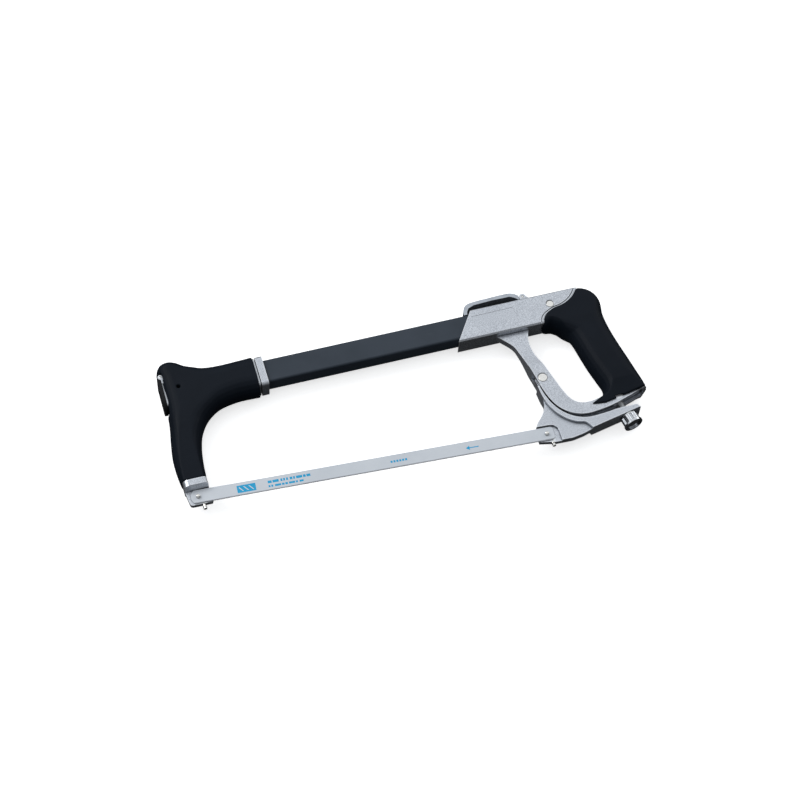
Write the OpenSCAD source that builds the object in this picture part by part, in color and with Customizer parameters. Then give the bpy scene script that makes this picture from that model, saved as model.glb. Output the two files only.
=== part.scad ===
// High-tension hacksaw lying on its side.
// +X runs along the tube from the front grip to the handle, +Y from the blade to the tube, +Z up.
// Inside the modules X = 0 is the front blade pin, Y = 0 the underside of the tube, Z = 0 its middle plane.

/* [Frame tube] */
// Height of the tube section
tube_h = 22.4; // [21.8:0.1:22.8]
// Thickness of the tube section
tube_t = 14.8; // [14:0.2:15.4]
// Wall of the tube
tube_wall = 1.2; // [0.8:0.1:1.6]

/* [Blade] */
// Distance between the blade's pin holes
blade_pins = 300; // [299:0.5:301]
// Width of the blade
blade_w = 12.7; // [11:0.1:12.9]
// Thickness of the blade
blade_t = 0.65; // [0.5:0.05:0.8]
// Front blade pin below the tube's underside
blade_drop = 90.8; // [90.5:0.1:91.2]
// Angle that the blade falls away from the tube towards the handle
blade_fall = 3.3; // [3.1:0.1:3.4]
// Diameter of the four blade pegs
peg_d = 3.4; // [3:0.1:3.6]

/* [Castings] */
// Thickness of the sleeves that hold the tube
sleeve_t = 19.2; // [18.8:0.2:19.6]
// Thickness of the handle's legs and bottom bar
bar_t = 16; // [15.6:0.2:16.4]
// Thickness of the two blade seats
seat_t = 4; // [3.4:0.1:4.4]

/* [Grips] */
// Thickness of the front grip
front_grip_t = 28; // [27:0.5:29]
// Thickness of the rear grip
rear_grip_t = 29; // [28:0.5:30]

/* [Tensioner] */
// Diameter of the lever's pivot pin
pivot_d = 8; // [7.4:0.2:8.2]
// Thickness of the lever's arm
arm_t = 14; // [13:0.5:14.4]
// Thickness of the lever's tongue in the slotted leg
tongue_t = 7.8; // [7:0.1:8]
// Diameter of the star knob
knob_d = 17; // [15:0.5:18]
// Diameter of the tension screw
screw_d = 6.3; // [6:0.1:6.4]

/* [Hidden] */
$fn = 48;

// Middle of the overall length and height, and the plane that the saw lies on.
middle = [193.2, -40.3];
fit = 0.05; // radial clearance of pins in their bores
gap = 0.1; // clearance between parts that only rest on each other
through = 40; // longer than any thickness that a cut has to pass

tube_corner = 2;
tube_start = -3;
tube_end = 350;
sleeve_wall = 2.8;
collar_end = 83;
grip_end = 74.5; // where the front rubber meets the collar

seat_z = seat_t / 2;
front_pin = [0, -blade_drop];
rear_pin = front_pin + blade_pins * [cos(blade_fall), -sin(blade_fall)];
peg_reach = 3.2; // how far a peg stands out of its seat
flush_pin_shift = 3.4;
flush_root_d = peg_d + 0.6; // the flush-cut pegs' thicker root in the castings
flush_d = peg_d - 0.4;
front_flush_foot = [flush_pin_shift, -98.2]; // where the root ends and the free end begins
front_flush_l = 4;
rear_flush_foot = [rear_pin.x + flush_pin_shift, -117.1];
rear_flush_l = 2.5;
flush_root_l = 6;

pivot = [312.4, -56.1];
eye_r = 6.3;
slot_t = tongue_t + 0.5;
arm_tilt = 11.5; // the arm's underside rises towards the rear
arm_foot = [373.5, -107]; // where the screw's axis leaves the arm's underside
nut_rise = 18.6; // from there up to the barrel nut
nut = arm_foot + nut_rise * [-sin(arm_tilt), cos(arm_tilt)];
nut_r = 4.6;
slot_back = 3; // how far the arm's screw slot runs past the screw to let the arm swing
washer_t = 1.6;
washer_r = 6.4;
knob_h = 8.6;
screw_reach = 9.6; // how far the screw runs past the nut's middle
clip_at = 8.5; // and its clip groove

bail_hinge = [321.6, 28.7];
bail_knuckle_r = 2.7;
bail_t = 14;
bail_knuckle_t = 7.4;
door_hinge = [-5.6, 26.4];
door_pin_d = 2;
door_knuckle_r = 2.2;
door_knuckle_t = 14;
door_t = 20;
door_face = -8.7;
door_back = -5.75;
door_foot = -5.2;
mouth = -5.4; // front face of the casting round the tube's open end

steel = [0.30, 0.33, 0.37];
rubber = [0.12, 0.14, 0.17];
cast = [0.76, 0.78, 0.82];
bright = [0.86, 0.87, 0.88];
black = [0.07, 0.07, 0.08];

// ---- curves ----

// One point between b and c on the smooth curve that runs through a, b, c and d.
function curve_point(a, b, c, d, t) =
    0.5 * (2 * b + (c - a) * t + (2 * a - 5 * b + 4 * c - d) * t * t + (3 * b - a - 3 * c + d) * t * t * t);

// A closed smooth outline through the points p, with n steps from each to the next.
function smooth_loop(p, n) = [
    for (i = [0 : len(p) - 1], k = [0 : n - 1])
        curve_point(
            p[(i + len(p) - 1) % len(p)], p[i], p[(i + 1) % len(p)], p[(i + 2) % len(p)], k / n
        )
];

// An open smooth curve through the points p, from the first to the last.
function smooth_line(p, n) = concat(
    [
        for (i = [0 : len(p) - 2], k = [0 : n - 1])
            curve_point(p[max(i - 1, 0)], p[i], p[i + 1], p[min(i + 2, len(p) - 1)], k / n)
    ],
    [p[len(p) - 1]]
);

function unit(v) = v / norm(v);

function left_of(v) = [-v.y, v.x];

// The points p of a polyline moved to its left by d.
function beside(p, d) = [
    for (i = [0 : len(p) - 1])
        p[i] + d * left_of(unit(p[min(i + 1, len(p) - 1)] - p[max(i - 1, 0)]))
];

function reversed(p) = [for (i = [len(p) - 1 : -1 : 0]) p[i]];

// ---- shared shapes ----

// An outline given a thickness t, centred on the middle plane.
module plate(p, t) {
    linear_extrude(t, center = true) polygon(p);
}

// A cylinder across the saw, centred on the middle plane.
module cross_pin(at, d, t) {
    translate([at.x, at.y, -t / 2]) cylinder(h = t, d = d);
}

// A cylinder in the saw's plane from point a to point b.
module rod(a, b, d) {
    angle = atan2(b.y - a.y, b.x - a.x);
    translate([a.x, a.y, 0]) rotate([0, 90, angle]) cylinder(h = norm(b - a), d = d);
}

// The point of the segment from a to b that is nearest to p.
function on_segment(p, a, b) = a + (b - a) * max(0, min(1, (p - a) * (b - a) / ((b - a) * (b - a))));

// The point of a polyline that is nearest to p.
function nearest(p, line) =
    let (
        c = [for (i = [0 : len(line) - 2]) on_segment(p, line[i], line[i + 1])],
        d = [for (q = c) norm(q - p)]
    )
    c[search(min(d), d)[0]];

// A moulded slab of thickness t with an oval section: its rim rounds off towards the line spine, over
// the width given or most of the way to the spine.
module pillow(outline, spine, t, width, steps = 5) {
    n = len(outline);
    depth = t / 2 - 0.5;
    most = 0.85;
    turn = [for (i = [0 : steps]) 90 * i / steps];
    way = [
        for (q = outline)
            let (v = nearest(q, spine) - q)
            v * min(width, most * norm(v)) / norm(v)
    ];
    rings = concat(
        [for (a = reversed(turn)) [1 - cos(a), depth - t / 2 - depth * sin(a)]],
        [for (a = turn) [1 - cos(a), t / 2 - depth + depth * sin(a)]]
    );
    last = len(rings) - 1;
    points = [
        for (ring = rings, i = [0 : n - 1])
            let (q = outline[i] + ring[0] * way[i])
            [q.x, q.y, ring[1]]
    ];
    sides = [
        for (j = [0 : last - 1], i = [0 : n - 1])
            let (k = (i + 1) % n)
            [j * n + i, (j + 1) * n + i, (j + 1) * n + k, j * n + k]
    ];
    floor_face = [for (i = [0 : n - 1]) i];
    roof_face = [for (i = [n - 1 : -1 : 0]) last * n + i];
    polyhedron(points, concat([floor_face], sides, [roof_face]));
}

// A side profile of points [y, z], mirrored about the middle plane and run from x = a to x = b.
module side_profile(half, a, b) {
    both = concat(half, [for (q = reversed(half)) [q.x, -q.y]]);
    translate([a, 0, 0]) rotate([90, 0, 90]) linear_extrude(b - a) polygon(both);
}

// A rectangle w by h with its corners rounded to the radius r, about the origin.
module rounded(w, h, r) {
    square([w - 2 * r, h], center = true);
    square([w, h - 2 * r], center = true);
    for (x = [-1, 1], y = [-1, 1])
        translate([x * (w / 2 - r), y * (h / 2 - r)]) circle(r);
}

// A bar along the tube from x = a to x = b, of height h and thickness t.
module tube_bar(a, b, h, t, r) {
    translate([a, tube_h / 2, 0]) rotate([90, 0, 90]) linear_extrude(b - a) rounded(h, t, r);
}

// A block around the tube from x = a to x = b, proud of the tube by w.
module tube_block(a, b, w, t) {
    tube_bar(a, b, tube_h + 2 * w, t, 3);
}

// Everything is designed about the front blade pin and placed about the middle of the saw.
module placed() {
    translate([-middle.x, -middle.y, rear_grip_t / 2]) children();
}

// ---- frame tube ----

// The tube's own outline, larger by extra all round.
module tube_space(a, b, extra) {
    tube_bar(a, b, tube_h + 2 * extra, tube_t + 2 * extra, tube_corner + extra);
}

module frame_tube() {
    color(steel) placed() difference() {
        tube_space(tube_start, tube_end, 0);
        tube_space(tube_start - 1, tube_end + 1, -tube_wall);
        cross_pin(front_tube_pin_at, tube_pin_d + 2 * fit, through);
        cross_pin(rear_tube_pin_at, rear_pin_d + 2 * fit, through);
    }
}

// ---- front casting, grip and pins ----

tube_pin_d = 3;
front_tube_pin_at = [7.2, 11.2];
rear_tube_pin_at = [342.2, 14];
rear_pin_d = 6.6;

toe_top = -76.8;
toe_ring = -82.4;
toe_wall = -84.2;
toe_t = 19;

toe_outline = [
    [-10, toe_top], [-9.8, -83], [-8.2, -95], [-7.6, -96.8], [-6, -97.6],
    [10.4, -97.9], [11.4, -96.6], [10.6, -83], [10, toe_top]
];

front_core_outline = [
    [-3.6, 2], [-3.8, -20], [-6.4, -40], [-7.6, -56], [-6, toe_top - 1],
    [6, toe_top - 1], [7.4, -58], [10, -44], [15, -30], [24, -16], [38, -6], [52, 2]
];

front_grip_outline = smooth_loop([
    [84, 28.8], [64, 28.6], [46, 28.1], [32, 29.3], [20, 33.5], [11, 39.4], [3.5, 41.6], [-4, 39.8],
    [-7.8, 33.4], [-7.4, 23], [-7, 9], [-7, -6], [-8.2, -20], [-10.5, -34], [-12.5, -49], [-12.6, -63],
    [-11, -77], [-7, -90], [0, -96], [7, -90], [10.6, -77], [11.6, -62], [13.5, -47], [17.5, -32.8],
    [25, -20.4], [37, -10.8], [54, -6.9], [70, -6.8], [84, -6.8], [93, 0], [96, 11], [93, 22]
], 4);

front_grip_spine = [[88, 11], [13, 11], [3, 32], [13, 11], [2, -20], [0, -88]];

// The socket round the tube with the collar that shows, and the core of the leg.
module front_core() {
    tube_block(mouth, grip_end, sleeve_wall - 0.4, sleeve_t - 2);
    plate(front_core_outline, 12);
    door_ears();
}

module toe() {
    ring_corner = 5;
    half_profile = [
        [-99, seat_z], [toe_wall, seat_z], [toe_ring, toe_t / 2], [toe_top, toe_t / 2]
    ];
    intersection() {
        plate(toe_outline, toe_t);
        side_profile(half_profile, -12, 14);
        translate([0.6, -70, 0]) rotate([90, 0, 0]) linear_extrude(30) hull() {
            for (x = [-1, 1], z = [-1, 1])
                translate([x * (10.8 - ring_corner), z * (toe_t / 2 - ring_corner)]) circle(ring_corner);
        }
    }
}

module front_casting() {
    rim = 1.4;
    groove = 0.9;
    color(cast) placed() difference() {
        union() {
            front_core();
            toe();
            tube_block(grip_end, grip_end + rim, sleeve_wall + 0.2, sleeve_t + 0.6);
            tube_block(grip_end + rim, grip_end + rim + groove, sleeve_wall - 1.2, sleeve_t - 2);
            tube_block(grip_end + rim + groove, collar_end, sleeve_wall + 0.7, sleeve_t + 1.2);
        }
        tube_space(tube_start - 10, collar_end + 10, fit);
        cross_pin(front_tube_pin_at, tube_pin_d + 2 * fit, through);
        cross_pin(front_pin, peg_d + 2 * fit, through);
        flush_bore(front_flush_foot);
        cross_pin(door_hinge, door_pin_d + 2 * fit, through);
        cross_pin(door_hinge, 2 * door_knuckle_r + 0.8, door_knuckle_t + 0.4);
    }
}

module front_grip() {
    half_profile = [
        [-110, 9.4], [toe_top, 9.9], [-50, 12.4], [-24, front_grip_t / 2], [60, front_grip_t / 2]
    ];
    color(rubber) placed() resize([0, 0, front_grip_t]) difference() {
        intersection() {
            pillow(front_grip_outline, front_grip_spine, front_grip_t, 12);
            side_profile(half_profile, -30, 120);
        }
        front_core();
        translate([grip_end - gap, -60, -through / 2]) cube([60, 120, through]);
        translate([-40, toe_top - 60 + gap, -through / 2]) cube([80, 60, through]);
        door_recess();
        cross_pin(front_tube_pin_at, tube_pin_d + 0.6, through);
    }
}

// A short dowel through each side wall, so that spare blades still slide past them.
module front_tube_pins() {
    dowel = 4;
    color(bright) placed() for (side = [-1, 1])
        translate([0, 0, side * (sleeve_t - 1 - dowel) / 2]) cross_pin(front_tube_pin_at, tube_pin_d, dowel);
}

module front_blade_pin() {
    color(bright) placed() blade_peg(front_pin);
}

// A peg pressed through a seat and standing out of its upper face.
module blade_peg(at) {
    translate([at.x, at.y, -seat_z]) cylinder(h = seat_t + peg_reach - 0.5, d = peg_d);
    translate([at.x, at.y, seat_z + peg_reach - 0.5]) cylinder(h = 0.5, d1 = peg_d, d2 = peg_d - 0.9);
}

// A peg that holds the blade a quarter turn over, for flush cutting: a root in the casting and a free end.
module flush_peg(foot, l) {
    rod(foot, foot + [0, flush_root_l], flush_root_d);
    rod(foot - [0, l], foot + [0, 1], flush_d);
}

module flush_bore(foot) {
    rod(foot - [0, 5], foot + [0, flush_root_l + fit], flush_root_d + 2 * fit);
}

module front_flush_pin() {
    color(bright) placed() flush_peg(front_flush_foot, front_flush_l);
}

// ---- storage door ----

module door_recess() {
    clear = 0.35;
    sweep_r = 3.7;
    translate([-30, door_foot - 4.6, -door_t / 2 - clear])
        cube([30 + mouth + clear, door_hinge.y - door_foot + 4.6, door_t + 2 * clear]);
    cross_pin(door_hinge, 2 * sweep_r, door_t + 2 * clear);
}

// The two ears on the casting that hold the door's pin.
module door_ears() {
    ear_t = 2;
    for (side = [-1, 1])
        translate([0, 0, side * (door_knuckle_t + ear_t + 0.6) / 2]) {
            cross_pin(door_hinge, 2 * door_knuckle_r, ear_t);
            plate([[mouth, 20], [door_hinge.x, door_hinge.y], [-3.4, door_hinge.y], [1, 20]], ear_t);
        }
}

module door_pin() {
    color(bright) placed() cross_pin(door_hinge, door_pin_d, door_knuckle_t + 4.4);
}

module storage_door() {
    outline = [
        [door_back, door_foot + 1.4], [door_back, 24], [-5.4, 28.6], [-7, 28.4], [-8.3, 27.4],
        [door_face, 25.6], [door_face, door_foot + 2], [-8.3, door_foot + 0.6], [-7.4, door_foot]
    ];
    plug = [[door_back - 0.5, 3], [-4.2, 3], [-4.2, 19.4], [door_back - 0.5, 19.4]];
    side_t = 4;
    color(black) placed() difference() {
        union() {
            intersection() {
                plate(outline, door_t);
                translate([0, door_foot + 20, 0]) rotate([90, 0, 90]) linear_extrude(40, center = true)
                    rounded(40, door_t, door_t / 2 - 0.5);
            }
            plate(plug, tube_t - 2 * tube_wall - 1);
            cross_pin(door_hinge, 2 * door_knuckle_r, door_knuckle_t);
        }
        for (side = [-1, 1])
            translate([0, 0, side * (door_knuckle_t + side_t) / 2])
                cross_pin(door_hinge, 2 * door_knuckle_r + 0.8, side_t);
        cross_pin(door_hinge, door_pin_d + 2 * fit, through);
    }
}

// ---- rear casting, grip and pins ----

// Where the rubber meets the metal lip, from the underside of the sleeve up to its top edge.
lip_line = smooth_line([
    [331, -4.2], [332.2, 0], [335.6, 3.6], [343.4, 7.4], [351, 9], [358, 12], [364.4, 17], [370.2, 24.4]
], 4);

bar_end = 396.6; // rear end of the handle's bottom bar

sleeve_outline = concat(
    [[252.6, -3.8], [331.1, -3.8]], [for (q = lip_line) if (q.y > -2) q], [[368.8, 25.2], [272.2, 25.4]]
);

leg_outline = concat(
    smooth_line([
        [284, 0], [291, -7.6], [298.6, -17], [301.6, -27], [304, -40], [306.8, -56], [309.2, -70],
        [313, -81.6], [318.6, -90.4], [326.6, -96.6], [335.6, -99.8], [345, -100], [361, -97.8],
        [378, -93], [394, -87.8]
    ], 4),
    [[397.2, -87.2], [396.4, -82], [372, -86], [352, -88.4]],
    smooth_line([
        [345.6, -89.4], [338, -89], [331, -85], [326, -76], [321, -58], [316.6, -41], [313.6, -29],
        [313.2, -16], [316, -6], [319, 0]
    ], 4)
);

handle_core_outline = [
    [328, -1], [339.6, -1], [350, -8], [356.4, -20], [358.6, -38], [361.4, -54], [365.4, -70], [367, -84],
    [366, -90], [394, -85], [391.4, -70], [387.4, -52], [383.6, -34], [381, -18], [381, -4], [382, 6],
    [379, 15], [372, 20], [346, 5], [334, 2]
];

channel_outline = [
    [316, -98], [336, -110], [400, -104], [394.4, -84.6], [376, -89.6], [361, -92.6], [346, -94.2],
    [336, -93.6], [328.6, -90.4], [323.4, -85]
];

// Clears the lever's eye and everything outwards of it.
slot_outline = [
    [pivot.x - 3, pivot.y + 7.2], [300, -48], [296, -70], [310, -98], [326, -100], [329, -90.6], [322, -82],
    [317.6, -70], [pivot.x + 6.4, pivot.y - 3]
];

module handle_leg() {
    web = 3.5;
    half_profile = concat(
        [[1, web], [-14, web]],
        [for (k = [1 : 5]) [-14 - 30 * k / 5, web + (bar_t / 2 - web) * pow(k / 5, 2)]],
        [[-120, bar_t / 2]]
    );
    intersection() {
        plate(leg_outline, bar_t);
        side_profile(reversed(half_profile), 270, 410);
        round_end(bar_end, bar_t);
    }
}

// The sleeve on the tube, with its long edges bevelled.
module sleeve() {
    bevel = 1.2;
    half = sleeve_t / 2;
    half_profile = [[-3.8, half - bevel], [-3.8 + bevel, half], [25.4 - bevel, half], [25.4, half - bevel]];
    intersection() {
        plate(sleeve_outline, sleeve_t);
        side_profile(half_profile, 250, 375);
    }
}

// The part of the casting that the rubber covers, with the blind end of the tube's socket.
module handle_core() {
    plate(handle_core_outline, bar_t - 2);
    tube_bar(324, tube_end + 3, tube_h + 2.4, sleeve_t - 1.2, 3);
}

// Everything between the handle's front and the rounded end of its bottom bar at x, seen from below.
module round_end(x, t) {
    end_r = 5;
    translate([x - end_r, 0, 0]) rotate([90, 0, 0]) linear_extrude(300, center = true) {
        scale([2 * end_r / t, 1]) circle(t / 2);
        translate([-200, -t / 2]) square([200, t]);
    }
}

module bail_ears() {
    ear_r = 3.1;
    for (side = [-1, 1])
        translate([0, 0, side * (bail_t + bail_knuckle_t) / 4 + side * 0.1]) {
            thickness = (bail_t - bail_knuckle_t) / 2 - 0.4;
            translate([bail_hinge.x, bail_hinge.y, 0]) cylinder(h = thickness, r = ear_r, center = true);
            plate([
                [bail_hinge.x - ear_r, 25], [bail_hinge.x - ear_r, bail_hinge.y],
                [bail_hinge.x + ear_r, bail_hinge.y], [bail_hinge.x + ear_r + 3, 25]
            ], thickness);
        }
}

// The chamfers at both mouths of a cross hole of diameter d through a thickness t.
module chamfers(at, d, t) {
    size = 0.7;
    for (side = [0, 1])
        mirror([0, 0, side])
            translate([at.x, at.y, t / 2 - size]) cylinder(h = 2 * size, d1 = d, d2 = d + 4 * size);
}

module rear_casting() {
    groove_w = 1;
    lip_w = 1.7;
    groove = concat(beside(lip_line, lip_w + groove_w), reversed(beside(lip_line, lip_w)));
    color(cast) placed() difference() {
        union() {
            sleeve();
            handle_leg();
            handle_core();
            bail_ears();
        }
        tube_space(200, tube_end + gap, fit);
        cross_pin(rear_tube_pin_at, rear_pin_d + 2 * fit, through);
        cross_pin(pivot, pivot_d + 2 * fit, through);
        chamfers(rear_tube_pin_at, rear_pin_d, sleeve_t);
        chamfers(pivot, pivot_d, bar_t);
        plate(slot_outline, slot_t);
        cross_pin(pivot, 2 * eye_r + 1, slot_t);
        intersection() {
            plate(channel_outline, bar_t - 4);
            round_end(bar_end - 2, bar_t - 4);
        }
        cross_pin(nut, 2 * nut_r + 2 * fit, bar_t - 1.4);
        rod(nut, nut + (screw_reach + 1) * [-sin(arm_tilt), cos(arm_tilt)], screw_d + 3);
        rod(nut, arm_foot, screw_d + 5);
        cross_pin(bail_hinge, 2.2 + 2 * fit, through);
        for (side = [-1, 1])
            translate([0, 0, side * sleeve_t / 2]) plate(groove, 1.6);
        translate([0, 0, sleeve_t / 2]) plate([[270.6, 7], [310.4, 7.4], [308.8, 18.6], [270.6, 18.2]], 0.5);
    }
}

module rear_grip() {
    outline = smooth_loop([
        [341, -94], [337, -104], [341, -118], [362, -126], [384, -124], [397, -112], [398.6, -96],
        [397.2, -82], [394.6, -68],
        [392, -54], [389.4, -41], [387.2, -28], [385.8, -16], [385.6, -5], [387.4, 5], [387, 12], [383.4, 19],
        [377.6, 23.8], [370, 25.8], [361, 19.4], [352, 13.4], [342, 11], [332, 6.4], [327.4, -1.5], [331, -6],
        [338, -7.4], [345.2, -13], [350, -22.4], [352.6, -37], [355.4, -53], [358.8, -67],
        [360.8, -77], [358, -84.6], [350, -88.8]
    ], 4);
    rear_grip_spine = [[340, 2], [364, 8], [370, -14], [373, -44], [378, -80], [374, -112]];
    half_profile = [
        [-110, 8.8], [-95, 9.2], [-86, 11.4], [-76, 13.8], [-66, rear_grip_t / 2],
        [-8, rear_grip_t / 2], [12, 12.6], [30, 10.6]
    ];
    metal_side = concat(lip_line, [[372, 40], [300, 40], [300, -4.2]]);
    color(rubber) placed() resize([0, 0, rear_grip_t]) difference() {
        intersection() {
            pillow(outline, rear_grip_spine, rear_grip_t, 12);
            side_profile(half_profile, 320, 410);
        }
        plate(beside(metal_side, -gap), through);
        handle_core();
        plate(leg_outline, bar_t);
        plate([
            [330, -91], [340, -91.4], [349, -93.4], [357, -94.4], [394, -87.6], [405, -85.4],
            [405, -130], [330, -130]
        ], through);
        cross_pin(nut, 2 * nut_r + 2 * fit, bar_t + 4);
        rod(nut, nut + (screw_reach + 1) * [-sin(arm_tilt), cos(arm_tilt)], screw_d + 3);
    }
}

module rear_tube_pin() {
    color(bright) placed() cross_pin(rear_tube_pin_at, rear_pin_d, sleeve_t - 1);
}

module lever_pivot_pin() {
    color(bright) placed() cross_pin(pivot, pivot_d, bar_t - 0.8);
}

// ---- hanging bail ----

module bail_pin() {
    color(bright) placed() cross_pin(bail_hinge, 2.2, bail_t - 0.4);
}

module hanging_bail() {
    foot_y = tube_h + 0.3;
    outer = smooth_line([
        [265.4, foot_y], [266.2, 27], [269.4, 32], [276, 34], [294, 34.8], [309, 35], [315, 33.2], [319, 29.8]
    ], 4);
    inner = [
        [317.4, 26.2], [314.6, 29], [310.4, 31.4], [294, 31.6], [277, 30.8], [271.6, 28.8], [269.2, 25.4],
        [268.6, foot_y]
    ];
    color(bright) placed() difference() {
        union() {
            plate(concat(outer, inner), bail_t);
            cross_pin(bail_hinge, 2 * bail_knuckle_r, bail_knuckle_t);
            plate([[316.8, 26.6], [321.6, 26.2], [321.6, 31.4], [317, 31.4]], bail_knuckle_t);
        }
        for (side = [-1, 1])
            translate([0, 0, side * (bail_t + bail_knuckle_t) / 4])
                cross_pin(bail_hinge, 7.2, (bail_t - bail_knuckle_t) / 2 + 0.02);
        cross_pin(bail_hinge, 2.2 + 2 * fit, through);
    }
}

// ---- blade ----

module along_blade() {
    translate([front_pin.x, front_pin.y, seat_z + gap / 2]) rotate(-blade_fall) children();
}

module blade() {
    front_end = 6.2;
    rear_end = 6.2;
    clip = 2;
    color(cast) placed() along_blade() difference() {
        union() {
            translate([0, -blade_w / 2, 0]) cube([blade_pins + rear_end - clip, blade_w, blade_t]);
            intersection() {
                translate([-front_end, -blade_w / 2, 0]) cube([front_end + 1, blade_w, blade_t]);
                translate([1.4, 0, 0]) cylinder(h = blade_t, r = 7.6);
            }
            translate([0, -blade_w / 2 + clip, 0]) cube([blade_pins + rear_end, blade_w - clip, blade_t]);
        }
        for (x = [0, blade_pins])
            translate([x, 0, -1]) cylinder(h = 3, d = peg_d + 0.3);
    }
}

// ---- tension lever ----

band_top = smooth_line([
    [307, -63], [309, -73.6], [312.3, -83], [317.8, -91.8], [326.4, -99.2], [337.4, -103.3], [352, -103.2],
    [366, -101.8], [383, -101.6]
], 4);
band_foot = smooth_line([
    [339, -113.9], [334.6, -107.2], [327, -104.6], [319.6, -99.4], [312.2, -90.2], [307, -77], [305.6, -63]
], 4);

module lever_tongue() {
    cross_pin(pivot, 2 * eye_r, tongue_t);
    plate([
        [pivot.x - 5.6, pivot.y - 2], [306.2, -66], [308.4, -80], [318, -92], [320.4, -89], [316.6, -76],
        [pivot.x + 5, pivot.y - 3]
    ], tongue_t);
}

module lever_arm() {
    along = [cos(arm_tilt), sin(arm_tilt)];
    tip = [[385.2, -105.2], [383.4, -105], arm_foot + 11.6 * along, arm_foot - 10 * along];
    plate(concat(band_top, tip, band_foot), arm_t);
}

module lever_seat() {
    face_z = 4;
    outline = concat(
        smooth_line([[307, -72], [305.6, -82], [301.6, -89.4], [295, -96.4], [291.6, -101.6]], 4),
        [[291.2, -114], [306, -117.2], [320, -117.8], [330, -116.2], [340, -113.4], [334, -104], [318, -92]]
    );
    translate([0, 0, (face_z - seat_z) / 2]) plate(outline, face_z + seat_z);
}

module tension_lever() {
    recess = [
        [286, -99.8], [303.4, -100.8], [307.4, -101.8], [310, -104.6], [310.6, -108.6], [310, -125],
        [286, -125]
    ];
    along = [cos(arm_tilt), sin(arm_tilt)];
    color(cast) placed() difference() {
        union() {
            lever_tongue();
            lever_arm();
            lever_seat();
        }
        translate([0, 0, seat_z + 10]) plate(recess, 20);
        cross_pin(pivot, pivot_d + 2 * fit, through);
        cross_pin(rear_pin, peg_d + 2 * fit, through);
        flush_bore(rear_flush_foot);
        screw_slot(along);
    }
}

// The slot in the arm that the screw passes through, long enough for the arm to swing.
module screw_slot(along) {
    width = screw_d + 0.8;
    translate([arm_foot.x, arm_foot.y, 0]) rotate([0, 0, arm_tilt]) translate([-width / 2, -5, -width / 2])
        cube([width + slot_back, 25, width]);
}

module rear_blade_pin() {
    color(bright) placed() blade_peg(rear_pin);
}

module rear_flush_pin() {
    color(bright) placed() flush_peg(rear_flush_foot, rear_flush_l);
}

// ---- tension screw ----

// Children stand on the screw's axis, with Z from the arm's underside down to the knob.
module on_screw() {
    translate([arm_foot.x, arm_foot.y, 0]) rotate([90, 0, arm_tilt]) children();
}

module barrel_nut() {
    color(bright) placed() difference() {
        cross_pin(nut, 2 * nut_r, bar_t - 2);
        rod(nut - 10 * unit(nut - arm_foot), nut + 10 * unit(nut - arm_foot), screw_d + 2 * fit);
    }
}

module thrust_washer() {
    color(bright) placed() on_screw() translate([0, 0, gap]) difference() {
        cylinder(h = washer_t, r = washer_r);
        translate([0, 0, -1]) cylinder(h = washer_t + 2, d = screw_d + 2 * fit);
    }
}

module tension_screw() {
    head = washer_t + 2 * gap + 4;
    color(steel) placed() on_screw() difference() {
        translate([0, 0, -nut_rise - screw_reach]) cylinder(h = nut_rise + screw_reach + head, d = screw_d);
        translate([0, 0, -nut_rise - clip_at]) difference() {
            cylinder(h = 1.1, d = screw_d + 1);
            translate([0, 0, -1]) cylinder(h = 4, d = screw_d - 1.4);
        }
    }
}

module screw_clip() {
    color(black) placed() on_screw() translate([0, 0, -nut_rise - clip_at + 0.1]) difference() {
        cylinder(h = 0.9, d = screw_d + 2);
        translate([0, 0, -1]) cylinder(h = 3, d = screw_d - 1.4 + 2 * fit);
        translate([-0.9, 0, -1]) cube([1.8, 10, 3]);
    }
}

module tension_knob() {
    lobes = 6;
    lobe_r = 2.5;
    lobe_at = knob_d / 2 - lobe_r - 0.35;
    rim_h = 1.6;
    start = washer_t + 2 * gap;
    color(bright) placed() on_screw() translate([0, 0, start]) difference() {
        union() {
            cylinder(h = knob_h - rim_h, d = knob_d - 5);
            for (k = [0 : lobes - 1])
                rotate(k * 360 / lobes) translate([lobe_at, 0, 0]) cylinder(h = knob_h - rim_h, r = lobe_r);
            translate([0, 0, knob_h - rim_h]) cylinder(h = rim_h, d = knob_d);
        }
        translate([0, 0, -1]) cylinder(h = 5 + 2 * gap, d = screw_d + 2 * fit);
        translate([0, 0, knob_h - 1.2]) cylinder(h = 2, d = knob_d - 4);
    }
}

frame_tube();
front_casting();
front_grip();
front_tube_pins();
front_blade_pin();
front_flush_pin();
door_pin();
storage_door();
rear_casting();
rear_grip();
rear_tube_pin();
lever_pivot_pin();
bail_pin();
hanging_bail();
blade();
tension_lever();
rear_blade_pin();
rear_flush_pin();
barrel_nut();
thrust_washer();
tension_screw();
screw_clip();
tension_knob();
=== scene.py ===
import bpy
import bmesh
import math
import random
from mathutils import Matrix, Vector


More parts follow.
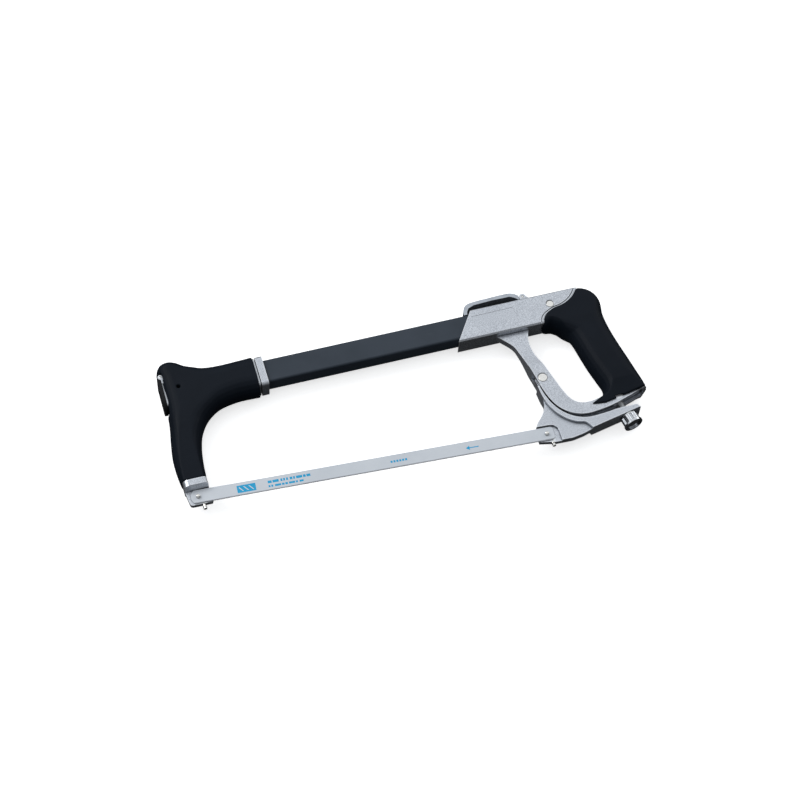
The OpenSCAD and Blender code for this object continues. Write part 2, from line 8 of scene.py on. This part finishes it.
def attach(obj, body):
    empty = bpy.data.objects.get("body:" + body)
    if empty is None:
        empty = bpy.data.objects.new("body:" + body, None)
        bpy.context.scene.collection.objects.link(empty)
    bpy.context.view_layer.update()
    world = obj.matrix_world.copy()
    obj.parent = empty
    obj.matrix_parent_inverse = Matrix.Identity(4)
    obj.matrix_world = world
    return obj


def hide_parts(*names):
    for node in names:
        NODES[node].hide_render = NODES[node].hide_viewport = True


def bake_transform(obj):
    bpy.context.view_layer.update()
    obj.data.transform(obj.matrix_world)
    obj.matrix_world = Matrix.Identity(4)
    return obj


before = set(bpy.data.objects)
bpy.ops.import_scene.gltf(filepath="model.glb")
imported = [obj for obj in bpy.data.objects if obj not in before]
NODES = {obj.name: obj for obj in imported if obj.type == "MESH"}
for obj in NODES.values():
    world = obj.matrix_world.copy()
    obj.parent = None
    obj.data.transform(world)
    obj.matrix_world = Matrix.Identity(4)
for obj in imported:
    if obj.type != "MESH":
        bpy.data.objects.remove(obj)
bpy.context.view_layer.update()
MM = 0.001

# Design frame (front blade pin, underside of the tube, middle plane) to the row frame.
SHIFT = Vector((193.2, -40.3, -14.5))


def row(x, y, z=0.0):
    return (Vector((x, y, z)) - SHIFT) * MM


# ---------------------------------------------------------------- materials


class Mat:
    """A small helper around a Principled material's node tree."""

    def __init__(self, name):
        self.m = bpy.data.materials.new(name)
        self.m.use_nodes = True
        self.t = self.m.node_tree
        self.b = next(n for n in self.t.nodes if n.type == "BSDF_PRINCIPLED")
        self.co = self.t.nodes.new("ShaderNodeTexCoord").outputs["Object"]

    def new(self, kind, inputs=None, **props):
        n = self.t.nodes.new(kind)
        for k, v in props.items():
            setattr(n, k, v)
        for k, v in (inputs or {}).items():
            self.put(n.inputs[k], v)
        return n

    def put(self, socket, v):
        if isinstance(v, bpy.types.NodeSocket):
            self.t.links.new(v, socket)
        else:
            socket.default_value = v

    def set(self, name, v):
        self.put(self.b.inputs[name], v)

    def scaled(self, x, y, z, by=None):
        n = self.new("ShaderNodeMapping", {"Vector": by or self.co})
        n.inputs["Scale"].default_value = (x, y, z)
        return n.outputs["Vector"]

    def noise(self, scale, detail=4.0, rough=0.55, vector=None):
        n = self.new(
            "ShaderNodeTexNoise",
            {"Vector": vector or self.co, "Scale": scale, "Detail": detail, "Roughness": rough},
        )
        return n.outputs["Fac"]

    def voronoi(self, scale, vector=None, feature="F1"):
        n = self.new("ShaderNodeTexVoronoi", {"Vector": vector or self.co, "Scale": scale}, feature=feature)
        return n.outputs["Distance"]

    def ramp(self, fac, stops):
        n = self.new("ShaderNodeValToRGB", {"Fac": fac})
        e = n.color_ramp.elements
        while len(e) < len(stops):
            e.new(0.5)
        for i, (at, c) in enumerate(stops):
            e[i].position = at
            e[i].color = (c, c, c, 1) if isinstance(c, (int, float)) else (*c, 1)
        return n.outputs["Color"]

    def remap(self, fac, lo, hi, a=0.0, b=1.0):
        n = self.new(
            "ShaderNodeMapRange",
            {"Value": fac, "From Min": a, "From Max": b, "To Min": lo, "To Max": hi},
        )
        return n.outputs["Result"]

    def math(self, op, a, b=0.0):
        n = self.new("ShaderNodeMath", operation=op)
        self.put(n.inputs[0], a)
        self.put(n.inputs[1], b)
        return n.outputs[0]

    def mix(self, fac, a, b):
        n = self.new("ShaderNodeMix", data_type="RGBA")
        self.put(n.inputs["Factor"], fac)
        colours = [s for s in n.inputs if s.type == "RGBA"]
        self.put(colours[0], (*a, 1) if isinstance(a, tuple) else a)
        self.put(colours[1], (*b, 1) if isinstance(b, tuple) else b)
        return next(s for s in n.outputs if s.type == "RGBA")

    def bump(self, height, strength, distance, normal=None):
        n = self.new("ShaderNodeBump", {"Height": height, "Strength": strength, "Distance": distance})
        if normal is not None:
            self.put(n.inputs["Normal"], normal)
        return n.outputs["Normal"]


    def nook(self, reach, inside=False):
        """0 on open faces, 1 deep in a groove or joint, or on a sharp outer edge when inside is set; a mask
        for painted shade in grooves and painted highlights on edges.
        """
        n = self.new("ShaderNodeAmbientOcclusion", {"Distance": reach * 0.001}, samples=12, inside=inside)
        return self.remap(n.outputs["AO"], 1.0, 0.0, 0.30, 0.90)


def cast_metal():
    m = Mat("satin_casting")
    grain = m.noise(5200, 3, 0.7)
    speck = m.voronoi(2600)
    sand = m.noise(1300, 2, 0.8)
    cloud = m.noise(38, 3)
    tone = m.mix(m.remap(grain, 0, 1, 0.35, 0.65), (0.58, 0.61, 0.66), (0.84, 0.87, 0.92))
    tone = m.mix(m.remap(sand, 0.0, 0.70, 0.42, 0.62), tone, (0.27, 0.29, 0.325))
    tone = m.mix(m.remap(cloud, 0.0, 0.25, 0.3, 0.8), tone, (0.42, 0.445, 0.49))
    # painted highlight: sharp outer edges of the casting lightened towards near white
    tone = m.mix(m.math("MULTIPLY", m.nook(1.4, True), 0.75), tone, (0.93, 0.95, 0.98))
    # painted shade: grooves, joints and the gaps round pins and grips darkened towards near black
    m.set("Base Color", m.mix(m.nook(2.2), tone, (0.030, 0.036, 0.046)))
    m.set("Metallic", 0.85)
    m.set("Roughness", m.remap(m.math("ADD", grain, m.math("MULTIPLY", cloud, 0.5)), 0.30, 0.44, 0.5, 1.0))
    n = m.bump(speck, 0.22, 0.00006)
    n = m.bump(sand, 0.22, 0.00008, n)
    m.set("Normal", m.bump(grain, 0.25, 0.00005, n))
    return m.m


def rubber():
    m = Mat("moulded_rubber")
    stipple = m.voronoi(1500)
    fine = m.noise(3800, 4, 0.7)
    cloud = m.noise(30, 4)
    tone = m.mix(m.remap(cloud, 0, 1, 0.3, 0.7), (0.0052, 0.0080, 0.0130), (0.0078, 0.0112, 0.0175))
    dust = m.ramp(m.noise(520, 6, 0.7), [(0.62, 0.0), (0.78, 1.0)])
    m.set("Base Color", m.mix(m.math("MULTIPLY", dust, 0.08), tone, (0.05, 0.053, 0.06)))
    m.set("Roughness", m.remap(m.math("ADD", cloud, m.math("MULTIPLY", fine, 0.6)), 0.46, 0.62, 0.5, 1.1))
    m.set("Specular IOR Level", 0.10)
    n = m.bump(stipple, 0.30, 0.00012)
    m.set("Normal", m.bump(fine, 0.35, 0.00006, n))
    return m.m


def tube_paint():
    m = Mat("slate_coated_steel")
    lengthways = m.noise(1.0, 5, 0.6, m.scaled(60, 3200, 3200))
    orange_peel = m.noise(900, 2)
    cloud = m.noise(22, 3)
    tone = m.mix(m.remap(cloud, 0, 1, 0.3, 0.7), (0.029, 0.039, 0.053), (0.041, 0.053, 0.071))
    rub = m.ramp(m.noise(1.0, 6, 0.75, m.scaled(40, 900, 900)), [(0.60, 0.0), (0.72, 1.0)])
    m.set("Base Color", m.mix(m.math("MULTIPLY", rub, 0.12), tone, (0.10, 0.115, 0.13)))
    m.set("Metallic", 0.0)
    m.set("Specular IOR Level", 0.25)
    m.set("Roughness", m.remap(m.math("ADD", cloud, lengthways), 0.30, 0.44, 0.6, 1.4))
    n = m.bump(orange_peel, 0.08, 0.0001)
    m.set("Normal", m.bump(lengthways, 0.12, 0.00003, n))
    return m.m


def bright_steel(name, colour, rough_lo, rough_hi, metallic=1.0, corner_shade=0.0):
    """Turned or drawn steel with fine hairlines, and painted shade darkening its corners."""
    m = Mat(name)
    hair = m.noise(1.0, 5, 0.7, m.scaled(900, 5200, 900))
    smear = m.noise(160, 4)
    dark = tuple(c * 0.82 for c in colour)
    tone = m.mix(m.remap(smear, 0, 1, 0.35, 0.7), colour, dark)
    if corner_shade:
        # painted shade: corners, recesses and the rings round pins darkened towards near black
        tone = m.mix(m.math("MULTIPLY", m.nook(1.6), corner_shade), tone, (0.03, 0.032, 0.036))
    m.set("Base Color", tone)
    m.set("Metallic", metallic)
    m.set("Roughness", m.remap(m.math("ADD", smear, hair), rough_lo, rough_hi, 0.6, 1.4))
    m.set("Normal", m.bump(hair, 0.10, 0.00003))
    return m.m


def black_plastic():
    m = Mat("black_plastic")
    grain = m.noise(2400, 5, 0.6)
    cloud = m.noise(60, 3)
    m.set("Base Color", m.mix(cloud, (0.006, 0.0065, 0.0075), (0.011, 0.012, 0.014)))
    m.set("Roughness", m.remap(m.math("ADD", grain, cloud), 0.42, 0.60, 0.6, 1.4))
    m.set("Specular IOR Level", 0.16)
    m.set("Normal", m.bump(grain, 0.2, 0.00006))
    return m.m


# The blade falls by this angle from its front pin to its rear pin, PINS apart in mm.
FALL = math.radians(3.3)
PINS = 300.0
FRONT_PIN = (0, -90.8)
BLADE_HALF = 6.35
BLADE_THICK = 0.65


def blade_paint():
    """Light grey paint, bare metal at the teeth, and a plain cyan print of bars, dashes and an arrow."""
    m = Mat("printed_blade")
    # the print is laid out in mm along the blade from its front pin, and only on the upper face
    place = m.new("ShaderNodeMapping", {"Vector": m.co}, vector_type="TEXTURE")
    place.inputs["Location"].default_value = row(*FRONT_PIN, 2)
    place.inputs["Rotation"].default_value = (0, 0, -FALL)
    sep = m.new("ShaderNodeSeparateXYZ", {"Vector": place.outputs["Vector"]})
    x = m.math("MULTIPLY", sep.outputs["X"], 1000)
    y = m.math("MULTIPLY", sep.outputs["Y"], 1000)
    z = m.math("MULTIPLY", sep.outputs["Z"], 1000)

    def inside(v, lo, hi):
        return m.math("MULTIPLY", m.math("GREATER_THAN", v, lo), m.math("LESS_THAN", v, hi))

    def box(x0, x1, y0, y1):
        return m.math("MULTIPLY", inside(x, x0, x1), inside(y, y0, y1))

    block = (32.6, 48.4, -3.6, 3.4)
    bars = [block]
    rng = random.Random(7)
    for y0, y1, start, stop in ((0.6, 3.0, 58.8, 95.0), (-3.2, -1.3, 58.8, 90.0)):
        at_x = start
        while at_x < stop:
            w = rng.choice((1.6, 2.2, 3.4, 5.2))
            bars.append((at_x, min(at_x + w, stop), y0, y1))
            at_x += w + rng.choice((0.7, 0.9, 1.5))
    for i in range(6):
        bars.append((163.5 + 2.5 * i, 165.2 + 2.5 * i, -1.0, 1.0))
    ink = box(*bars[0])
    for bar in bars[1:]:
        ink = m.math("MAXIMUM", ink, box(*bar))
    # slanted gaps through the block
    wave = m.math("FRACT", m.math("DIVIDE", m.math("ADD", x, m.math("MULTIPLY", y, 0.8)), 4.4))
    gap = m.math("MULTIPLY", m.math("LESS_THAN", wave, 0.24), box(34.4, 46.6, -2.2, 2.0))
    ink = m.math("MULTIPLY", ink, m.math("SUBTRACT", 1.0, gap))
    # an arrow that shows which way the teeth cut: a shaft, and a head that narrows to a point
    neck, head_l, shaft_l, shaft_half = 232, 3.2, 8, 0.45
    ahead = m.math("ABSOLUTE", m.math("SUBTRACT", x, neck))
    aside = m.math("MULTIPLY", m.math("ABSOLUTE", y), 1.5)
    head = m.math("LESS_THAN", m.math("ADD", aside, ahead), head_l)
    head = m.math("MULTIPLY", head, m.math("LESS_THAN", x, neck))
    shaft = box(neck, neck + shaft_l, -shaft_half, shaft_half)
    ink = m.math("MAXIMUM", ink, m.math("MAXIMUM", head, shaft))
    up = m.math("GREATER_THAN", z, 0.55)
    worn = m.ramp(m.noise(2600, 5, 0.7), [(0.30, 0.75), (0.46, 1.0)])
    ink = m.math("MULTIPLY", m.math("MULTIPLY", ink, up), worn)
    grain = m.noise(1.0, 5, 0.7, m.scaled(260, 5200, 5200, place.outputs["Vector"]))
    cloud = m.noise(34, 3)
    paint = m.mix(m.remap(cloud, 0, 1, 0.3, 0.7), (0.61, 0.65, 0.70), (0.68, 0.715, 0.76))
    paint = m.mix(m.remap(grain, 0.0, 0.14, 0.4, 0.7), paint, (0.38, 0.40, 0.43))
    ragged = m.math("MULTIPLY", m.math("SUBTRACT", cloud, 0.5), 0.5)
    tooth = m.math("LESS_THAN", m.math("ADD", y, ragged), -5.2)
    tone = m.mix(tooth, paint, (0.30, 0.315, 0.34))
    m.set("Base Color", m.mix(ink, tone, (0.0, 0.36, 0.66)))
    m.set("Metallic", m.remap(tooth, 0.15, 0.6))
    m.set("Roughness", m.remap(m.math("ADD", grain, cloud), 0.36, 0.50, 0.6, 1.4))
    m.set("Normal", m.bump(grain, 0.08, 0.00003))
    return m.m


M_CAST = cast_metal()
M_RUBBER = rubber()
M_TUBE = tube_paint()
M_PIN = bright_steel("ground_pin_steel", (0.86, 0.845, 0.81), 0.16, 0.28, corner_shade=0.9)
M_CHROME = bright_steel("polished_plating", (0.66, 0.68, 0.71), 0.07, 0.17, corner_shade=0.8)
M_WIRE = bright_steel("plated_wire", (0.47, 0.50, 0.545), 0.14, 0.26)
M_ZINC = bright_steel("zinc_plate", (0.60, 0.61, 0.615), 0.26, 0.42)
M_SPRING = bright_steel("blackened_steel", (0.05, 0.05, 0.055), 0.35, 0.5, 0.8)
M_BLACK = black_plastic()
M_BLADE = blade_paint()


def give(o, material):
    o.data.materials.clear()
    o.data.materials.append(material)


# ---------------------------------------------------------------- CAD nodes


def soften(o, width, segments=3, angle=28):
    """Rounds a CAD node's edges as a casting or a turned part has them, with modifiers only."""
    me = o.data
    if "custom_normal" in me.attributes:
        me.attributes.remove(me.attributes["custom_normal"])
    me.polygons.foreach_set("use_smooth", [True] * len(me.polygons))
    w = o.modifiers.new("weld", "WELD")
    w.merge_threshold = 0.000004
    d = o.modifiers.new("planar", "DECIMATE")
    d.decimate_type = "DISSOLVE"
    d.angle_limit = math.radians(0.6)
    if width:
        b = o.modifiers.new("bevel", "BEVEL")
        b.width = width * MM
        b.segments = segments
        b.limit_method = "ANGLE"
        b.angle_limit = math.radians(angle)
        b.miter_outer = "MITER_ARC"
    n = o.modifiers.new("normals", "WEIGHTED_NORMAL")
    n.weight = 100
    n.keep_sharp = True


def knead(o, voxel, rounds):
    """Turns a grip's facets into the soft skin of a moulding."""
    me = o.data
    if "custom_normal" in me.attributes:
        me.attributes.remove(me.attributes["custom_normal"])
    r = o.modifiers.new("remesh", "REMESH")
    r.mode = "VOXEL"
    r.voxel_size = voxel * MM
    r.use_smooth_shade = True
    s = o.modifiers.new("smooth", "SMOOTH")
    s.factor = 0.5
    s.iterations = rounds


for name in ("front_casting", "rear_casting", "tension_lever"):
    give(NODES[name], M_CAST)
soften(NODES["front_casting"], 0.6)
soften(NODES["rear_casting"], 0.6)
soften(NODES["tension_lever"], 0.7)
give(NODES["frame_tube"], M_TUBE)
soften(NODES["frame_tube"], 0)
for name in ("front_grip", "rear_grip"):
    give(NODES[name], M_RUBBER)
    knead(NODES[name], 0.55, 8)
for name in ("front_tube_pins", "front_blade_pin", "front_flush_pin", "door_pin", "rear_tube_pin",
             "lever_pivot_pin", "bail_pin", "rear_blade_pin", "rear_flush_pin"):
    give(NODES[name], M_PIN)
    soften(NODES[name], 0.45)
give(NODES["hanging_bail"], M_WIRE)
soften(NODES["hanging_bail"], 0.5)
give(NODES["tension_knob"], M_CHROME)
soften(NODES["tension_knob"], 0.35)
for name in ("barrel_nut", "thrust_washer"):
    give(NODES[name], M_ZINC)
    soften(NODES[name], 0.2)
give(NODES["screw_clip"], M_SPRING)
soften(NODES["screw_clip"], 0.1)
give(NODES["storage_door"], M_BLACK)
soften(NODES["storage_door"], 0.45)


# ---------------------------------------------------------------- new pieces


def mesh_object(name, bm, material, smooth=False):
    me = bpy.data.meshes.new(name)
    bm.normal_update()
    bm.to_mesh(me)
    bm.free()
    if smooth:
        me.polygons.foreach_set("use_smooth", [True] * len(me.polygons))
        me.set_sharp_from_angle(angle=math.radians(35))
    o = bpy.data.objects.new(name, me)
    bpy.context.scene.collection.objects.link(o)
    me.materials.append(material)
    return o


def blade_outline():
    """The blade's rim in mm from its front pin: a rounded end, a clipped end and 24 teeth an inch."""
    half, pitch, depth = BLADE_HALF, 25.4 / 24, 0.62
    end_r, end_half_angle = 7.6, 0.98
    rim = [(305.6 - 1.4, half), (-3.0, half)]
    for k in range(1, 16):
        a = math.pi + end_half_angle * (k / 8 - 1)
        rim.append((1.4 + end_r * math.cos(a), end_r * math.sin(a)))
    rim += [(-3.0, -half + 0.1)]
    x = 7.0
    rim.append((x, -half + depth))
    while x < 293.0:
        rim.append((x + 0.12, -half))
        rim.append((x + pitch * 0.86, -half + depth))
        rim.append((x + pitch, -half + depth))
        x += pitch
    rim += [(x + 1, -half + 0.1), (303.6, -half + 0.1), (306.2, -half + 2.2), (306.2, half - 1.2)]
    return rim


def blade_piece():
    bm = bmesh.new()
    hole_r, around = 1.85, 32

    def hole(cx):
        turns = [2 * math.pi * k / around for k in range(around)]
        return [(cx + hole_r * math.cos(a), hole_r * math.sin(a)) for a in turns]

    edges = []
    for loop in (blade_outline(), hole(0), hole(PINS)):
        vs = [bm.verts.new((x, y, 0)) for x, y in loop]
        edges += [bm.edges.new((vs[i], vs[(i + 1) % len(vs)])) for i in range(len(vs))]
    bmesh.ops.triangle_fill(bm, use_beauty=True, use_dissolve=False, edges=edges)
    # cuts across the blade, so that it can bow
    for k in range(1, 60):
        everything = list(bm.verts) + list(bm.edges) + list(bm.faces)
        bmesh.ops.bisect_plane(bm, geom=everything, plane_co=(k * 5.0, 0, 0), plane_no=(1, 0, 0))
    top = bmesh.ops.extrude_face_region(bm, geom=list(bm.faces))
    raised = [v for v in top["geom"] if isinstance(v, bmesh.types.BMVert)]
    bmesh.ops.translate(bm, verts=raised, vec=(0, 0, BLADE_THICK))
    bmesh.ops.recalc_face_normals(bm, faces=list(bm.faces))
    # the wavy set of a fine-toothed blade
    for v in bm.verts:
        if v.co.y < -5.75 and 7 < v.co.x < 294:
            v.co.z += 0.16 * math.sin(2 * math.pi * v.co.x / 8.4)
    turned = Matrix.Rotation(-FALL, 4, "Z") @ Matrix.Scale(MM, 4)
    bm.transform(Matrix.Translation(row(*FRONT_PIN, 2.05)) @ turned)
    return mesh_object("toothed_blade", bm, M_BLADE)


blade = blade_piece()
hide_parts("blade")
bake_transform(blade)

# The screw's lean from straight down, where it leaves the lever's arm, and how far it reaches inside.
TILT = math.radians(11.5)
FOOT = (373.5, -107.0)
SCREW_IN = 18.6


def on_screw():
    """Frame with its origin where the screw leaves the arm, Z down the screw towards the knob."""
    z = Vector((math.sin(TILT), -math.cos(TILT), 0))
    x = Vector((math.cos(TILT), math.sin(TILT), 0))
    y = z.cross(x)
    m = Matrix((x, y, z)).transposed().to_4x4()
    m.translation = row(*FOOT)
    return m @ Matrix.Scale(MM, 4)


def threaded_screw():
    """The stud with its thread as a real helix, and the clip's groove near its end."""
    bm = bmesh.new()
    around, pitch, r, depth = 40, 1.27, 3.15, 0.62
    z0, z1, step = -SCREW_IN - 9.6, 5.8, pitch / 10
    groove = (-SCREW_IN - 8.5, -SCREW_IN - 7.4)
    rings = []
    count = int((z1 - z0) / step)
    for i in range(count + 1):
        z = z0 + (z1 - z0) * i / count
        ring = []
        for k in range(around):
            a = 2 * math.pi * k / around
            phase = (z / pitch - k / around) % 1.0
            cut = depth * max(0.0, 1 - abs(phase - 0.5) * 2.6)
            rr = r - cut
            rr = min(rr, r - 0.6 + (z - z0) * 1.0)
            if groove[0] < z < groove[1]:
                rr = r - 0.7
            ring.append(bm.verts.new((rr * math.cos(a), rr * math.sin(a), z)))
        rings.append(ring)
    for a, b in zip(rings, rings[1:]):
        for k in range(around):
            bm.faces.new((a[k], a[(k + 1) % around], b[(k + 1) % around], b[k]))
    bm.faces.new(list(reversed(rings[0])))
    bm.faces.new(rings[-1])
    bm.transform(on_screw())
    return mesh_object("threaded_screw", bm, M_ZINC, True)


screw = threaded_screw()
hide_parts("tension_screw")
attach(screw, "knob")

# ---------------------------------------------------------------- studio


def floor_material():
    m = Mat("pale_floor")
    m.set("Base Color", m.mix(m.noise(3, 3), (0.93, 0.93, 0.93), (0.95, 0.95, 0.95)))
    m.set("Roughness", m.remap(m.noise(40, 3), 0.75, 0.9))
    m.set("Specular IOR Level", 0.1)
    m.set("Emission Color", (1, 1, 1, 1))
    m.set("Emission Strength", 0.66)
    return m.m


bm = bmesh.new()
bmesh.ops.create_grid(bm, x_segments=8, y_segments=8, size=6)
floor = mesh_object("studio_floor", bm, floor_material())
floor.location.z = -0.0002
floor.visible_diffuse = False
floor.visible_glossy = False

# Strength of the surroundings below the saw, as a share of the sky's, and of the sky.
DARK = 0.05
SKY = 0.95


def surroundings():
    """A studio that is bright above and behind the saw, and dark below and on the near side."""
    world = bpy.data.worlds.new("studio")
    bpy.context.scene.world = world
    world.use_nodes = True
    tree = world.node_tree
    back = next(n for n in tree.nodes if n.type == "BACKGROUND")
    way = tree.nodes.new("ShaderNodeTexCoord").outputs["Generated"]
    sep = tree.nodes.new("ShaderNodeSeparateXYZ")
    tree.links.new(way, sep.inputs[0])

    def band(value, a, b, lo, hi):
        n = tree.nodes.new("ShaderNodeMapRange")
        n.interpolation_type = "SMOOTHSTEP"
        tree.links.new(value, n.inputs["Value"])
        for key, v in (("From Min", a), ("From Max", b), ("To Min", lo), ("To Max", hi)):
            n.inputs[key].default_value = v
        return n.outputs["Result"]

    high = band(sep.outputs["Z"], -0.05, 0.62, DARK, 1.0)
    far = band(sep.outputs["Y"], -0.55, 0.45, 0.35, 1.0)
    mul = tree.nodes.new("ShaderNodeMath")
    mul.operation = "MULTIPLY"
    tree.links.new(high, mul.inputs[0])
    tree.links.new(far, mul.inputs[1])
    tint = tree.nodes.new("ShaderNodeValToRGB")
    tree.links.new(mul.outputs[0], tint.inputs["Fac"])
    ends = tint.color_ramp.elements
    ends[0].color = (0.0, 0.0, 0.0, 1)
    ends[1].color = (0.94, 0.97, 1.0, 1)
    tree.links.new(tint.outputs["Color"], back.inputs["Color"])
    back.inputs["Strength"].default_value = SKY


surroundings()


def lamp(name, at, target, size, power, colour=(1, 1, 1)):
    """An area lamp in metres and watts that faces its target."""
    d = bpy.data.lights.new(name, "AREA")
    d.shape = "RECTANGLE"
    d.size, d.size_y = size
    d.energy = power
    d.color = colour
    o = bpy.data.objects.new(name, d)
    bpy.context.scene.collection.objects.link(o)
    o.location = at
    o.rotation_euler = (Vector(target) - Vector(at)).to_track_quat("-Z", "Y").to_euler()
    return o


lamp("key", (-1.3, 1.1, 1.5), (0, 0, 0), (0.9, 0.9), 16)
lamp("fill", (-1.4, -0.9, 1.3), (0, 0, 0), (1.2, 1.2), 2, (0.95, 0.97, 1.0))
lamp("rim", (1.5, 0.6, 0.7), (0.1, 0, 0), (0.5, 0.9), 2.5)

camera = bpy.data.objects.new("camera", bpy.data.cameras.new("camera"))
bpy.context.scene.collection.objects.link(camera)
right = Vector((0.95942599, -0.27890089, 0.04142542))
upward = Vector((0.21872571, 0.82889592, 0.51486951))
forward = Vector((0.17793492, 0.48491839, -0.85626708))
stance = Matrix((right, upward, -forward)).transposed().to_4x4()
stance.translation = Vector((-0.31022213, -0.83436241, 1.48428245))
camera.matrix_world = stance
camera.data.lens = 90
camera.data.sensor_width = 36
camera.data.clip_start = 0.05
bpy.context.scene.camera = camera
bpy.context.scene.view_settings.view_transform = "Standard"
